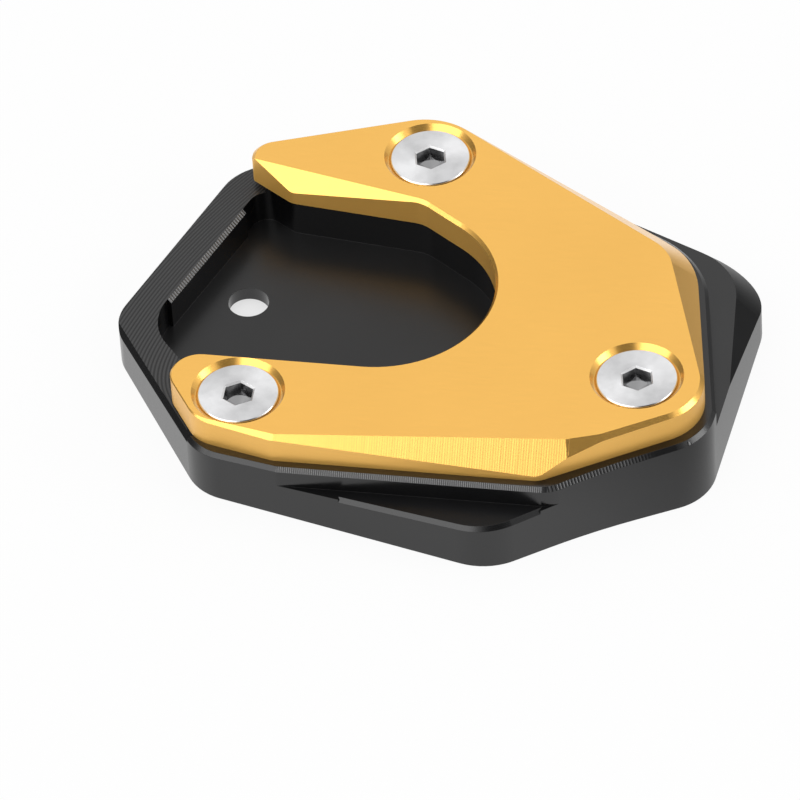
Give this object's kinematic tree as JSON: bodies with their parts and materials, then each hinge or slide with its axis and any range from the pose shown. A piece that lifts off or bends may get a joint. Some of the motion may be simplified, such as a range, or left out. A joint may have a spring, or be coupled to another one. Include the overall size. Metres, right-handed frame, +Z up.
{
  "type": "kickstand foot enlarger",
  "caption": "Wedge-shaped metal foot plate with a floor pocket for a stand's foot, held from above by a fork-shaped clamp plate and countersunk socket screws.",
  "frame": {"origin": "on the flat underside, straight below the deck's origin, near the middle of the foot plate's outline", "axes": "+Z up, away from the ground; +X along the straight front edge, from the open mouth of the fork to its closed end; +Y towards the far side"},
  "size_m": [0.0921, 0.0765, 0.0171],
  "materials": {
    "base_plate": "black anodised, machined, satin",
    "clamp_plate": "gold anodised, fine brushed",
    "screw": "bare stainless, turned"
  },
  "bodies": {
    "root": {"base_plate": "base_plate", "clamp_plate": "clamp_plate", "screw_left": "screw", "screw_right": "screw", "screw_rear": "screw"}
  },
  "joints": []
}
